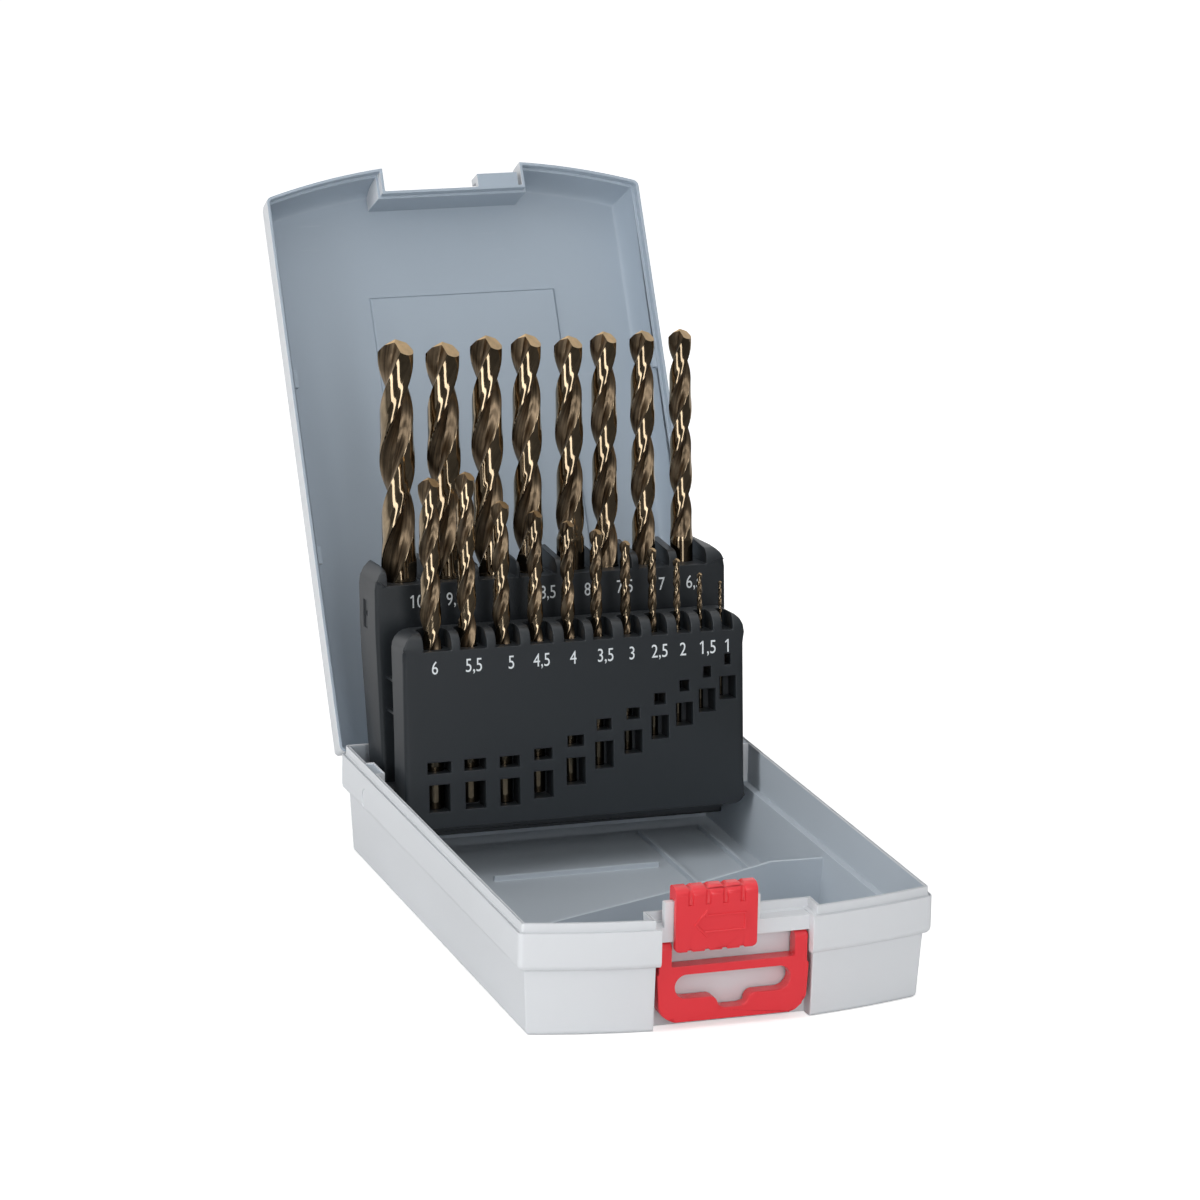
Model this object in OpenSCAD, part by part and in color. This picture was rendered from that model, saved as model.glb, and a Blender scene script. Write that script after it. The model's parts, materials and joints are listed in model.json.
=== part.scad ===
/* [Case] */
// Width of the case across its band
case_w = 114; // [112:0.5:118]
// Depth of the straight sides, from the hinge line to the front corners
case_d = 165; // [163:0.5:172]
// How far the front bows out past the front corners
bow = 8.7; // [8:0.1:10]
// Height of the base up to the parting line
base_h = 28.7; // [28:0.1:30]
// Height of the band round the base
band_h = 10.5; // [10:0.1:11]
// How far the band stands out past the lower body
band_step = 2; // [1.5:0.1:2.2]
// How far the lower body draws in from the band to the floor
draft = 1; // [0.4:0.1:1.2]
// Wall thickness of the base
wall = 2; // [1.9:0.05:2.2]
// Floor thickness of the base
floor_t = 2; // [1.6:0.1:2.2]
// Plan radius of the case corners
corner_r = 2; // [1.5:0.1:4]
// Radius of the rounded outer edges
edge_r = 1.3; // [0.8:0.1:1.6]
// Height of the lip above the parting line
lip_h = 2.4; // [1.6:0.1:2.6]
// Height of the ribs on the floor
rib_h = 1.5; // [1:0.1:2]
// Height of the diagonal partition above the floor
partition_h = 15.7; // [12:0.1:16]
// Thickness of ribs and partition
rib_t = 1.2; // [1:0.1:1.6]

/* [Lid] */
// Height of the lid above the parting line
lid_h = 16.3; // [16:0.1:17.5]
// Wall thickness of the lid
lid_wall = 1.7; // [1.6:0.05:2]
// Thickness of the lid's plate
lid_top = 1.8; // [1.5:0.1:2]
// Height of the broad rounding along the lid's edges
lid_round_h = 14; // [12:0.5:14]
// Width of the broad rounding along the lid's edges
lid_round_w = 6.5; // [5:0.5:7]
// How far the open lid leans back past upright, in degrees
lid_lean = 28.9; // [20:0.1:35]
// Width of the rebate inside the lid's rim
rebate_w = 0.9; // [0.8:0.05:1]
// Running gap between lid and base
rim_gap = 0.17; // [0.15:0.01:0.2]
// Radius of the hinge knuckles
knuckle_r = 2; // [1.8:0.1:2.2]
// Radius of the hinge pins
pin_r = 0.9; // [0.7:0.05:1]
// Length of each lid knuckle
knuckle_l = 10; // [8:0.5:12]

/* [Latch] */
// Half width of the bay at the front
bay_hw = 20.75; // [20.5:0.05:22]
// Width of the slider
slider_w = 22.4; // [21.5:0.1:22.6]
// How far the slider travels
slide_travel = 10.35; // [9.5:0.05:10.6]
// Height of the slider
slider_h = 17.3; // [16.8:0.1:17.6]
// Thickness of the slider's front plate
slider_t = 1.6; // [1.3:0.1:1.7]
// Thickness of the keeper plate and of the lid's catch
keeper_t = 2; // [1.8:0.1:2]
// Length of the keeper plate
keeper_l = 26.2; // [25.5:0.1:26.4]
// How far the keeper plate and the lid's catch stand above the parting line
keeper_up = 6.4; // [5.6:0.1:6.8]
// Height of the rail under the keeper plate
rail_h = 3.9; // [3.4:0.1:4]

/* [Handle] */
// Height of the hanger, from its bottom edge to its axis
handle_h = 20; // [19:0.1:20.4]
// Thickness of the hanger
handle_t = 4.2; // [4:0.1:4.2]
// Width of the hanger's arms
arm_w = 3.5; // [3:0.1:3.6]
// Height of the hanger's lower plate
plate_h = 15.3; // [15:0.05:15.35]
// Height of the crossbar above the hang slot
crossbar_h = 2.4; // [2:0.1:2.5]
// Height of the hang slot
slot_h = 6.5; // [6:0.1:6.6]
// Half width of the hang slot
slot_hw = 15.9; // [15:0.1:16]

/* [Rack] */
// Lean of the upright rack, in degrees
rack_lean = 4.8; // [3:0.1:6]
// Height of the back tier's front edge
back_h = 84.9; // [83:0.1:88]
// Height of the back tier's scoop floors
back_scoop_h = 80.5; // [79.5:0.1:81.5]
// Height of the front tier
front_h = 70.1; // [68.5:0.1:71]
// Height of the front tier's scoop floors
front_scoop_h = 65.1; // [64:0.1:66]
// Gap between the back tier's ends and the case's outer sides
rack_side_gap = 5.2; // [5:0.1:6]
// Radius of the rack's pivot stubs
stub_r = 2.5; // [2:0.1:2.8]
// Radial clearance of the drills in their sockets
socket_fit = 0.22; // [0.2:0.01:0.3]

/* [Drills] */
// Diameter of the largest drill
largest_drill = 10; // [9.7:0.05:10.2]
// Step from one drill size to the next, as a share of the largest
size_step_share = 0.05; // [0.049:0.0005:0.05]
// Length of the longest drill
longest_drill = 133; // [125:1:136]
// Full angle of the drill points, in degrees
point_angle = 135; // [118:1:140]
// Helix pitch of the flutes in drill diameters
pitch_ratio = 5.9; // [4.5:0.1:7]

/* [Hidden] */
back_names = ["drill_10", "drill_9_5", "drill_9", "drill_8_5", "drill_8", "drill_7_5", "drill_7", "drill_6_5"];
front_names = ["drill_6", "drill_5_5", "drill_5", "drill_4_5", "drill_4", "drill_3_5", "drill_3", "drill_2_5",
  "drill_2", "drill_1_5", "drill_1"];
drill_names = concat(back_names, front_names);

// Smoothness of round cuts
$fn = 48;
// Overrun of cuts and of joined pieces
over = 0.6;
// Least plan radius
corner_min = 0.4;
corner_steps = 5;
bow_steps = 24;

// Front bow
bow_r = (case_w*case_w/4 + bow*bow)/(2*bow);
bow_cy = bow_r - bow - case_d/2;
band_z = base_h - band_h;
// The inner wall steps out a little above the band's lower edge
jog_up = 1.5;
jog_z = band_z + jog_up;
band_edge = min(edge_r + draft/2, band_step*0.9);
lip_inset = rebate_w + rim_gap;
rebate_gap = 0.3;
rebate_h = lip_h + rebate_gap;
lip_z = base_h + lip_h;

// Bay at the front, measured back from the line of the front corners
front_y = -case_d/2;
bay_in = 0.2;
bay_y = front_y + bay_in;
notch_out = 0.53;
notch_y = front_y - notch_out;
notch_gap = 0.25;
notch_hw = bay_hw + notch_gap;
lip_out_x = notch_hw + lip_inset;
lip_in_x = lip_out_x + wall - lip_inset;
lip_out_y = notch_y + lip_inset;
lip_in_y = lip_out_y + wall - lip_inset;
low_bay_gap = 0.85;

// Rail, keeper plate, catch and slider
rail_drop = 0.5;
rail_out = 4.5;
rail_y = front_y - rail_out;
rail_top = base_h - rail_drop;
rail_z = rail_top - rail_h;
keeper_in = 1.55;
keeper_x = keeper_in - bay_hw;
keeper_z = base_h + keeper_up;
catch_gap = 0.5;
catch_x = keeper_x + keeper_l + catch_gap;
catch_spare = 2.05;
catch_l = slide_travel + catch_spare;
lid_gap = 0.2;
catch_t = 2.6;
run_gap = 0.2;
slider_stop = 1.35;
slider_x = keeper_x + keeper_l - slider_w - slider_stop;
hood_h = 3.7;
slider_top = keeper_z + run_gap + hood_h;
slider_z = slider_top - slider_h;
slider_y = rail_y - run_gap - slider_t;
roll_r = slider_t*1.5;
hook_t = 1.1;
hook_drop = 3.3;
grip_r = 0.7;
grip_pitch = slider_w*0.212;

// Handle
pivot_gap = 0.3;
handle_front = 2;
handle_y = rail_y + handle_front;
handle_z = rail_z - handle_front - pivot_gap;
arm_gap = 0.35;
arm_x = bay_hw - arm_gap;
shoulder = 0.5;
shoulder_h = 6.3;
handle_pin_r = 1;
handle_pin_l = 1.2;
pin_fit = 0.05;

// Rack in its own upright frame: y runs back from the drill axes of the back row, z up
pivot_drop = 6.9;
pivot_z = base_h - pivot_drop;
pivot_in = 24.5;
pivot_y = case_d/2 - pivot_in;
pivot_v = 12.4;
pivot_u = 20.8;
fold_gap = 1.6;
back_rear = lid_h - lid_top - fold_gap + pivot_drop - pivot_v;
back_front = 9;
front_face = pivot_z + pivot_v - floor_t - rib_h - fold_gap;
front_axis_in = 6.15;
front_axis = front_face - front_axis_in;
front_tier_t = 11.9;
front_rear = front_face - front_tier_t;
back_hw = case_w/2 - rack_side_gap;
front_in = 1.9;
front_hw = back_hw - front_in;
foot_u = 8;
front_foot_u = 15;
pad_step = 0.3;
pad_x = case_w/2 - band_step - wall - pad_step;
ear_gap = 0.3;
ear_x = pad_x - ear_gap;
ear_r = 4.6;
stub_l = 2.3;
stub_fit = 0.05;
pad_hw = 5.5;

// Shares of the half width at which the drills stand, and of the scoop height at which they rest
back_x_shares = [-0.813, -0.55, -0.303, -0.077, 0.164, 0.365, 0.587, 0.807];
front_x_shares = [-0.802, -0.593, -0.391, -0.194, -0.002, 0.166, 0.339, 0.499, 0.645, 0.781, 0.904];
back_floor_shares = [0.191, 0.272, 0.286, 0.383, 0.368, 0.475, 0.471, 0.568];
front_floor_shares = [0.303, 0.318, 0.292, 0.336, 0.356, 0.389, 0.467, 0.488, 0.558, 0.627, 0.674];
// Drill lengths as shares of the longest, and flutes as shares of each drill's own length
back_length_shares = [1, 0.94, 0.94, 0.88, 0.88, 0.82, 0.82, 0.76];
front_length_shares = [0.7, 0.7, 0.647, 0.6, 0.564, 0.526, 0.459, 0.429, 0.368, 0.3, 0.256];
back_flute_shares = [0.654, 0.648, 0.648, 0.641, 0.495, 0.633, 0.633, 0.6];
front_flute_shares = [0.613, 0.613, 0.605, 0.587, 0.573, 0.557, 0.541, 0.526, 0.49, 0.45, 0.353];
// Windows in the front tier, as shares of its scoop height
window_shares = [0.303, 0.306, 0.306, 0.327, 0.373, 0.435, 0.49, 0.545, 0.594, 0.647, 0.696];

function arc_pts(cx, cy, r, a0, a1, n) =
  [for (i = [0:n]) let (a = a0 + (a1 - a0)*i/n) [cx + r*cos(a), cy + r*sin(a)]];

// Plan outline of the case, drawn in by an inset
function case_pts(inset) =
  let (
    rc = max(corner_r - inset, corner_min),
    cx = case_w/2 - inset - rc,
    cb = case_d/2 - inset - rc,
    br = bow_r - inset,
    cf = bow_cy - sqrt((br - rc)*(br - rc) - cx*cx),
    half = asin(cx/(br - rc)),
    bow_pts = arc_pts(0, bow_cy, br, 270 - half, 270 + half, bow_steps)
  )
  concat(
    arc_pts(cx, cb, rc, 0, 90, corner_steps),
    arc_pts(-cx, cb, rc, 90, 180, corner_steps),
    arc_pts(-cx, cf, rc, 180, 270 - half, corner_steps),
    [for (i = [1:bow_steps - 1]) bow_pts[i]],
    arc_pts(cx, cf, rc, 270 + half, 360, corner_steps)
  );

// Faces of a skin over rings of n points each, from ring 0 at the bottom to the last one
function skin_faces(n, last) = concat(
  [for (j = [0:last - 1]) for (k = [0:n - 1])
    let (a = j*n + k, b = j*n + (k + 1)%n) each [[a, a + n, b + n], [a, b + n, b]]],
  [[for (k = [0:n - 1]) k], [for (k = [n - 1:-1:0]) last*n + k]]
);

// Solid through the case outline at a list of insets and heights, from the bottom up
module loft(levels) {
  rings = [for (l = levels) [for (p = case_pts(l[0])) [p[0], p[1], l[1]]]];
  polyhedron(points = [for (ring = rings) each ring], faces = skin_faces(len(rings[0]), len(levels) - 1));
}

// Plan outline with the bay taken out of its front
module notched(inset, side, back) {
  difference() {
    polygon(case_pts(inset));
    translate([-side, back - case_d]) square([2*side, case_d]);
  }
}

module bar_x(x0, x1) {
  translate([x0, 0, 0]) rotate([90, 0, 90]) linear_extrude(x1 - x0) children();
}

module rod_x(x0, x1, y, z, r) {
  translate([x0, y, z]) rotate([0, 90, 0]) cylinder(r = r, h = x1 - x0);
}

// Base
module base_outside() {
  low = band_step + draft;
  loft(concat(
    [for (a = [90:-30:0]) [low + edge_r*(1 - cos(a)), edge_r*(1 - sin(a))]],
    [[band_step, band_z]],
    [for (a = [0:30:90]) [band_edge*(1 - sin(a)), band_z + band_edge*(1 - cos(a))]],
    [[0, base_h]]
  ));
  translate([0, 0, jog_z]) linear_extrude(lip_z - jog_z) notched(lip_inset, lip_out_x, lip_out_y);
}

module base_inside() {
  low = band_step + wall;
  difference() {
    loft([[low + draft, floor_t], [low, jog_z], [wall, jog_z], [wall, lip_z + over]]);
    translate([-lip_in_x, lip_in_y - case_d, 0]) cube([2*lip_in_x, case_d, 2*lip_z]);
  }
}

module bay_cut() {
  translate([-bay_hw, bay_y - case_d, -over]) cube([2*bay_hw, case_d, lip_z]);
  low_hw = bay_hw + low_bay_gap;
  translate([-low_hw, bay_y - case_d, -over]) cube([2*low_hw, case_d, band_z + over]);
}

module rail() {
  x0 = bay_hw + over;
  translate([-x0, rail_y, rail_z]) cube([2*x0, bay_y + over - rail_y, rail_h]);
  translate([keeper_x, rail_y, rail_z]) cube([keeper_l, keeper_t, keeper_z - rail_z]);
}

// Diagonal partition, as shares of the half width and half depth
partition_shares = [[0.937, -0.158], [0.667, -0.149], [0.035, -0.36], [-0.526, -0.515], [-0.937, -0.63]];
module partition() {
  far = [for (p = partition_shares) [p[0]*case_w/2, p[1]*case_d/2 + rib_t/2]];
  near = [for (i = [len(far) - 1:-1:0]) [far[i][0], far[i][1] - rib_t]];
  translate([0, 0, floor_t - over]) linear_extrude(partition_h + over) polygon(concat(far, near));
}

module floor_rib(x0, x1, y0, y1) {
  translate([x0, y0, floor_t - over]) cube([x1 - x0, y1 - y0, rib_h + over]);
}

// Each rib's ends and place, as shares of the half width and half depth
cross_rib_shares = [-0.447, 0.404, 0.442];
side_rib_shares = [[0.474, 0.2, 0.8], [0.798, -0.15, 0.8]];
module floor_ribs() {
  w = case_w/2;
  d = case_d/2;
  cross_y = d*cross_rib_shares[2];
  floor_rib(w*cross_rib_shares[0], w*cross_rib_shares[1], cross_y, cross_y + rib_t);
  for (s = side_rib_shares) floor_rib(w*s[0], w*s[0] + rib_t, d*s[1], d*s[2]);
}

module pivot_pads() {
  for (s = [-1, 1]) translate([s > 0 ? pad_x : -pad_x - over - band_step, pivot_y - pad_hw, jog_z - over])
    cube([over + band_step, 2*pad_hw, lip_z - jog_z + over]);
}

// Knuckles stand at this place from the middle, one lid knuckle between two of the base
knuckle_x = case_w*0.315;
knuckle_side = 7;
knuckle_gap = 0.3;
module base_knuckles() {
  for (s = [-1, 1]) for (e = [-1, 1]) {
    mid = s*knuckle_x + e*(knuckle_l/2 + knuckle_gap + knuckle_side/2);
    rod_x(mid - knuckle_side/2, mid + knuckle_side/2, case_d/2, base_h, knuckle_r);
  }
}

module lid_knuckles(r, gap) {
  for (s = [-1, 1]) rod_x(s*knuckle_x - knuckle_l/2 - gap, s*knuckle_x + knuckle_l/2 + gap, case_d/2, base_h, r);
}

pin_half = knuckle_l/2 + knuckle_gap + knuckle_side*0.85;
module pin_bores() {
  for (s = [-1, 1])
    rod_x(s*knuckle_x - pin_half - over, s*knuckle_x + pin_half + over, case_d/2, base_h, pin_r + pin_fit);
}

dimple_r = 3.25;
dimple_deep = 0.4;
module stub_bores() {
  far = pad_x + stub_l + ear_gap;
  rod_x(pad_x - over, far, pivot_y, pivot_z, stub_r + stub_fit);
  rod_x(-far, -pad_x + over, pivot_y, pivot_z, stub_r + stub_fit);
  rod_x(case_w/2 - dimple_deep, case_w/2 + over, pivot_y, pivot_z, dimple_r);
  rod_x(-case_w/2 - over, dimple_deep - case_w/2, pivot_y, pivot_z, dimple_r);
}

module handle_bores() {
  deep = handle_pin_l + pin_fit;
  rod_x(bay_hw - over, bay_hw + deep, handle_y, handle_z, handle_pin_r + pin_fit);
  rod_x(-bay_hw - deep, over - bay_hw, handle_y, handle_z, handle_pin_r + pin_fit);
}

bump_r = 0.9;
module lip_bumps() {
  for (share = [0.7, 0.612])
    translate([-case_w/2 + wall, case_d/2*share, jog_z]) cylinder(r = bump_r, h = lip_z - jog_z - bump_r);
}

module base_shell() {
  color("#d3d6d9") difference() {
    union() {
      difference() {
        base_outside();
        base_inside();
        bay_cut();
      }
      rail();
      partition();
      floor_ribs();
      pivot_pads();
      base_knuckles();
      lip_bumps();
    }
    lid_knuckles(knuckle_r + knuckle_gap, knuckle_gap);
    pin_bores();
    stub_bores();
    handle_bores();
  }
}

// Lid, drawn closed and then swung open about the hinge line
module open_lid() {
  translate([0, case_d/2, base_h]) rotate([-90 - lid_lean, 0, 0]) translate([0, -case_d/2, -base_h]) children();
}

lid_rim = base_h + lid_gap;
lid_z = base_h + lid_h;
module lid_outside() {
  loft(concat(
    [[0, lid_rim]],
    [for (a = [0:15:90]) [lid_round_w*(1 - cos(a)), lid_z - lid_round_h*(1 - sin(a))]]
  ));
}

module lid_bay() {
  translate([-notch_hw, notch_y - case_d, base_h - over]) cube([2*notch_hw, case_d, lid_h + 2*over]);
}

module lid_inside() {
  side = notch_hw + lid_wall;
  back = notch_y + lid_wall;
  in_w = lid_round_w - lid_wall - lid_top;
  in_h = lid_round_h - lid_top;
  difference() {
    loft(concat(
      [[lid_wall, base_h - over]],
      [for (a = [0:15:90]) [lid_wall + in_w*(1 - cos(a)), lid_z - lid_top - in_h*(1 - sin(a))]]
    ));
    translate([-side, back - case_d, 0]) cube([2*side, case_d, 2*lid_z]);
  }
  translate([0, 0, base_h - over]) linear_extrude(rebate_h + over)
    notched(rebate_w, notch_hw + rebate_w, notch_y + rebate_w);
}

// The catch carries an upright plate that lines up with the keeper plate
module lid_catch() {
  translate([catch_x, rail_y, lid_rim]) cube([catch_l, notch_y + rebate_w - rail_y, catch_t]);
  translate([catch_x, rail_y, lid_rim]) cube([catch_l, keeper_t, keeper_z - lid_rim]);
}

panel_t = 0.5;
module lid_panel() {
  x0 = -case_w*0.228;
  x1 = case_w*0.27;
  y0 = case_d/2 - case_d*0.832;
  y1 = case_d/2 - case_d*0.3;
  translate([x0, y0, lid_z - lid_top - panel_t]) cube([x1 - x0, y1 - y0, panel_t + lid_top/2]);
}

lug_l = 5.3;
lug_w = 0.9;
module lid_lugs() {
  z0 = lid_rim + rebate_h;
  for (s = [-1, 1]) for (share = [0.355, 0.673])
    translate([s*(case_w/2 - lid_wall - lug_w/2) - lug_w, case_d/2 - case_d*share - lug_l/2, z0])
      cube([2*lug_w, lug_l, lid_h*0.12]);
}

module lid_shell() {
  color("#d3d6d9") open_lid() difference() {
    union() {
      difference() {
        lid_outside();
        lid_inside();
        lid_bay();
      }
      lid_catch();
      lid_panel();
      lid_lugs();
      lid_knuckles(knuckle_r, 0);
    }
    knuckle_room();
    pin_bores();
  }
}

// Room in the lid's back wall for the base's knuckles
module knuckle_room() {
  for (s = [-1, 1]) for (e = [-1, 1]) {
    near = knuckle_l/2;
    far = near + 2*knuckle_gap + knuckle_side;
    x0 = s*knuckle_x + (e > 0 ? near : -far);
    rod_x(x0, x0 + far - near, case_d/2, base_h, knuckle_r + knuckle_gap);
  }
}

module hinge_pin(s) {
  color("#b9bcc0") rod_x(s*knuckle_x - pin_half, s*knuckle_x + pin_half, case_d/2, base_h, pin_r);
}

// Rack
module rack_place() {
  translate([0, pivot_y, pivot_z]) rotate([-rack_lean, 0, 0]) translate([0, pivot_v, -pivot_u]) children();
}

back_top_r = 3;
back_rise = 1.5;
module back_side() {
  top = back_h + back_rise;
  polygon(concat(
    [[-back_front, foot_u], [back_rear*0.4, foot_u], [back_rear, back_h*0.7], [back_rear, top]],
    arc_pts(-back_front + back_top_r, back_h - back_top_r, back_top_r, 90, 180, corner_steps)
  ));
}

back_corner_r = 7;
back_taper = 1.3;
module back_view() {
  top = back_h + back_rise;
  cx = back_hw - back_corner_r;
  cz = top - back_corner_r;
  low = back_hw - back_taper;
  polygon(concat(
    [[-low, foot_u], [low, foot_u], [low, back_h/3], [back_hw, back_h*0.8]],
    arc_pts(cx, cz, back_corner_r, 0, 90, corner_steps),
    arc_pts(-cx, cz, back_corner_r, 90, 180, corner_steps),
    [[-back_hw, back_h*0.8], [-low, back_h/3]]
  ));
}

front_top_r = 4;
front_thin = 1.2;
module front_side() {
  polygon(concat(
    [[-front_face, front_foot_u], [-front_rear - front_thin, front_foot_u], [-front_rear - front_thin, front_h*0.57],
      [-front_rear, front_h*0.9], [-front_rear, front_h]],
    arc_pts(-front_face + front_top_r, front_h - front_top_r, front_top_r, 90, 180, corner_steps)
  ));
}

front_corner_r = 5;
front_foot_r = 3;
module front_view() {
  cx = front_hw - front_corner_r;
  cz = front_h - front_corner_r;
  fx = front_hw - front_foot_r;
  fz = front_foot_u + front_foot_r;
  polygon(concat(
    arc_pts(cx, cz, front_corner_r, 0, 90, corner_steps),
    arc_pts(-cx, cz, front_corner_r, 90, 180, corner_steps),
    arc_pts(-fx, fz, front_foot_r, 180, 270, corner_steps),
    arc_pts(fx, fz, front_foot_r, 270, 360, corner_steps)
  ));
}

module tier(hw, rear, front) {
  intersection() {
    bar_x(-hw - over, hw + over) children(0);
    translate([0, rear + over, 0]) rotate([90, 0, 0]) linear_extrude(rear + front + 2*over) children(1);
  }
}

web_in = 3;
web_foot = 12;
web_top = 62;
module web() {
  hw = front_hw - web_in;
  translate([-hw, -front_rear - front_thin - over, web_foot])
    cube([2*hw, front_rear + front_thin + 2*over - back_front, web_top - web_foot]);
}

module ears() {
  for (s = [-1, 1]) {
    x0 = s > 0 ? front_hw - web_in - over : -ear_x;
    rod_x(x0, x0 + ear_x - front_hw + web_in + over, -pivot_v, pivot_u, ear_r);
  }
  rod_x(-ear_x - stub_l, ear_x + stub_l, -pivot_v, pivot_u, stub_r);
}

// Two thin ribs show in the gap between the tiers
gap_rib_t = 0.7;
gap_rib_shares = [0.835, 0.694];
module gap_ribs() {
  hw = front_hw - web_in/3;
  for (share = gap_rib_shares)
    translate([-hw, -front_rear - front_thin - over, front_scoop_h*share])
      cube([2*hw, front_rear + front_thin + 2*over - back_front, gap_rib_t]);
}

// Recess with a small hole in each end of the back tier
end_slot_h = 8;
end_slot_w = 3.8;
end_slot_deep = 0.5;
end_slot_u = 71.2;
end_slot_in = 1.4;
end_hole_r = 0.8;
module end_slot() {
  deep = end_slot_deep + over;
  for (s = [-1, 1]) {
    translate([s*(back_hw - end_slot_deep + deep/2) - deep/2, end_slot_in - end_slot_w/2, end_slot_u - end_slot_h/2])
      cube([deep, end_slot_w, end_slot_h]);
    rod_x(s*(back_hw - end_slot_deep) - end_hole_r, s*(back_hw - end_slot_deep) + end_hole_r, end_slot_in,
      end_slot_u, end_hole_r);
  }
}

scoop_gap = 1.1;
shelf_top_share = 0.73;
shelf_low_share = 0.6;
module back_socket(i) {
  r = back_d(i)/2;
  bore = r + socket_fit;
  floor_z = back_floor(i);
  top = back_h + back_rise + over;
  slot = bore*0.94;
  x = back_x(i);
  translate([x, 0, floor_z]) cylinder(r = bore, h = top - floor_z);
  translate([x - r - scoop_gap, -back_front - over, back_scoop_h])
    cube([2*(r + scoop_gap), back_front + back_rear + 2*over, top]);
  translate([x - slot, 0, back_scoop_h*shelf_top_share])
    cube([2*slot, back_rear + over, top]);
  low_top = back_scoop_h*shelf_low_share;
  translate([x - slot, 0, floor_z]) cube([2*slot, back_rear + over, low_top - floor_z]);
}

window_h = 7.6;
small_window_h = 6.5;
window_gap = 3.3;
sight_h = 3.1;
window_w0 = 4.4;
sight_w0 = 0.7;
module front_socket(i) {
  d = front_d(i);
  bore = d/2 + socket_fit;
  floor_z = front_floor(i);
  x = front_x(i);
  z = front_scoop_h*window_shares[i];
  low_h = i < 6 ? window_h : small_window_h;
  w = window_w0 + d/4;
  sight = d + sight_w0;
  translate([x, -front_axis, floor_z]) cylinder(r = bore, h = front_h + over - floor_z);
  translate([x, -front_axis, front_scoop_h]) cylinder(r = d/2 + scoop_gap, h = front_h);
  translate([x - (d/2 + scoop_gap)*0.98, -front_face - over, front_scoop_h])
    cube([2*(d/2 + scoop_gap)*0.98, front_face + over - front_axis, front_h]);
  translate([x - w/2, -front_face - over, z]) cube([w, front_face + over - front_axis, low_h]);
  translate([x - sight/2, -front_face - over, z + low_h + window_gap])
    cube([sight, front_face + over - front_axis, sight_h]);
}

module drill_rack() {
  color("#23272b") rack_place() difference() {
    union() {
      tier(back_hw, back_rear, back_front) {
        back_side();
        back_view();
      }
      tier(front_hw, -front_rear, front_face) {
        front_side();
        front_view();
      }
      web();
      gap_ribs();
      ears();
    }
    end_slot();
    for (i = [0:len(back_names) - 1]) back_socket(i);
    for (i = [0:len(front_names) - 1]) front_socket(i);
  }
}

// Drills
function back_d(i) = largest_drill*(1 - i*size_step_share);
function front_d(i) = back_d(i + len(back_names));
function back_x(i) = back_hw*back_x_shares[i];
function front_x(i) = front_hw*front_x_shares[i];
function back_floor(i) = back_scoop_h*back_floor_shares[i];
function front_floor(i) = front_scoop_h*front_floor_shares[i];

// Half of a flute section: angle in degrees and share of the radius
flute_shares = [[0, 0.93], [30, 0.95], [58, 1], [80, 0.55], [112, 0.3], [148, 0.55]];
small_flute_shares = [[0, 0.95], [50, 1], [90, 0.35], [135, 0.45]];
small_drill = 3.6;
margin_share = 0.985;
chisel_share = 0.04;
rings_per_turn = 16;
seat = 0.05;

function flute_ring(z, d, l, base, shape) =
  let (turn = 360*(z - base)/(d*pitch_ratio), cone = d*chisel_share + (l - z)*tan(point_angle/2))
  [for (h = [0, 180]) for (s = shape)
    let (r = min(d/2*margin_share*s[1], cone), a = s[0] + h + turn) [r*cos(a), r*sin(a), z]];

module fluted(d, l, flute) {
  shape = d < small_drill ? small_flute_shares : flute_shares;
  n = 2*len(shape);
  base = l - flute;
  cone_h = d/2*margin_share/tan(point_angle/2);
  steps = ceil((flute - cone_h)/(d*pitch_ratio)*rings_per_turn);
  levels = concat(
    [for (i = [0:steps]) base - d/8 + (flute + d/8 - cone_h)*i/steps],
    [l - cone_h*0.62, l - cone_h*0.28, l]
  );
  rings = [for (z = levels) flute_ring(z, d, l, base, shape)];
  polyhedron(points = [for (ring = rings) each ring], faces = skin_faces(n, len(levels) - 1));
}

module drill(d, l, flute) {
  color("#8a6f4e") {
    cylinder(r = d/2, h = l - flute);
    fluted(d, l, flute);
  }
}

module back_drill(i) {
  l = longest_drill*back_length_shares[i];
  rack_place() translate([back_x(i), 0, back_floor(i) + seat]) drill(back_d(i), l, l*back_flute_shares[i]);
}

module front_drill(i) {
  l = longest_drill*front_length_shares[i];
  rack_place() translate([front_x(i), -front_axis, front_floor(i) + seat])
    drill(front_d(i), l, l*front_flute_shares[i]);
}

// Slider
module slider_side() {
  inner = slider_y + slider_t;
  roof = keeper_z + run_gap;
  back0 = rail_y + keeper_t + run_gap;
  back1 = back0 + hook_t;
  polygon(concat(
    [[slider_y, slider_z], [inner, slider_z], [inner, roof], [back0, roof], [back0, roof - hook_drop],
      [back1, roof - hook_drop], [back1, slider_top - roll_r/2]],
    arc_pts(back1 - roll_r/2, slider_top - roll_r/2, roll_r/2, 0, 90, corner_steps),
    arc_pts(slider_y + roll_r, slider_top - roll_r, roll_r, 90, 180, corner_steps)
  ));
}

hook_left = 3;
hook_right = 4.5;
hook_reach = 1.7;
hook_h = 1.8;
module slider_hook() {
  z = rail_z - run_gap - hook_h;
  translate([slider_x + hook_left, slider_y + slider_t/2, z])
    cube([slider_w - hook_left - hook_right, slider_t/2 + hook_reach, hook_h]);
}

module slider_grips() {
  for (i = [0:3]) {
    x = slider_x + slider_w/2 + (i - 1.5)*grip_pitch;
    translate([x, slider_y, slider_top]) rotate([-90, 0, 0]) cylinder(r = grip_r, h = 4*slider_t);
    translate([x, slider_y, slider_top - 2*roll_r]) cylinder(r = grip_r, h = slider_h);
    translate([x, slider_y - over, slider_z]) rotate([-90, 0, 0]) cylinder(r = grip_r, h = over + 2*slider_t/3);
  }
}

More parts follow.
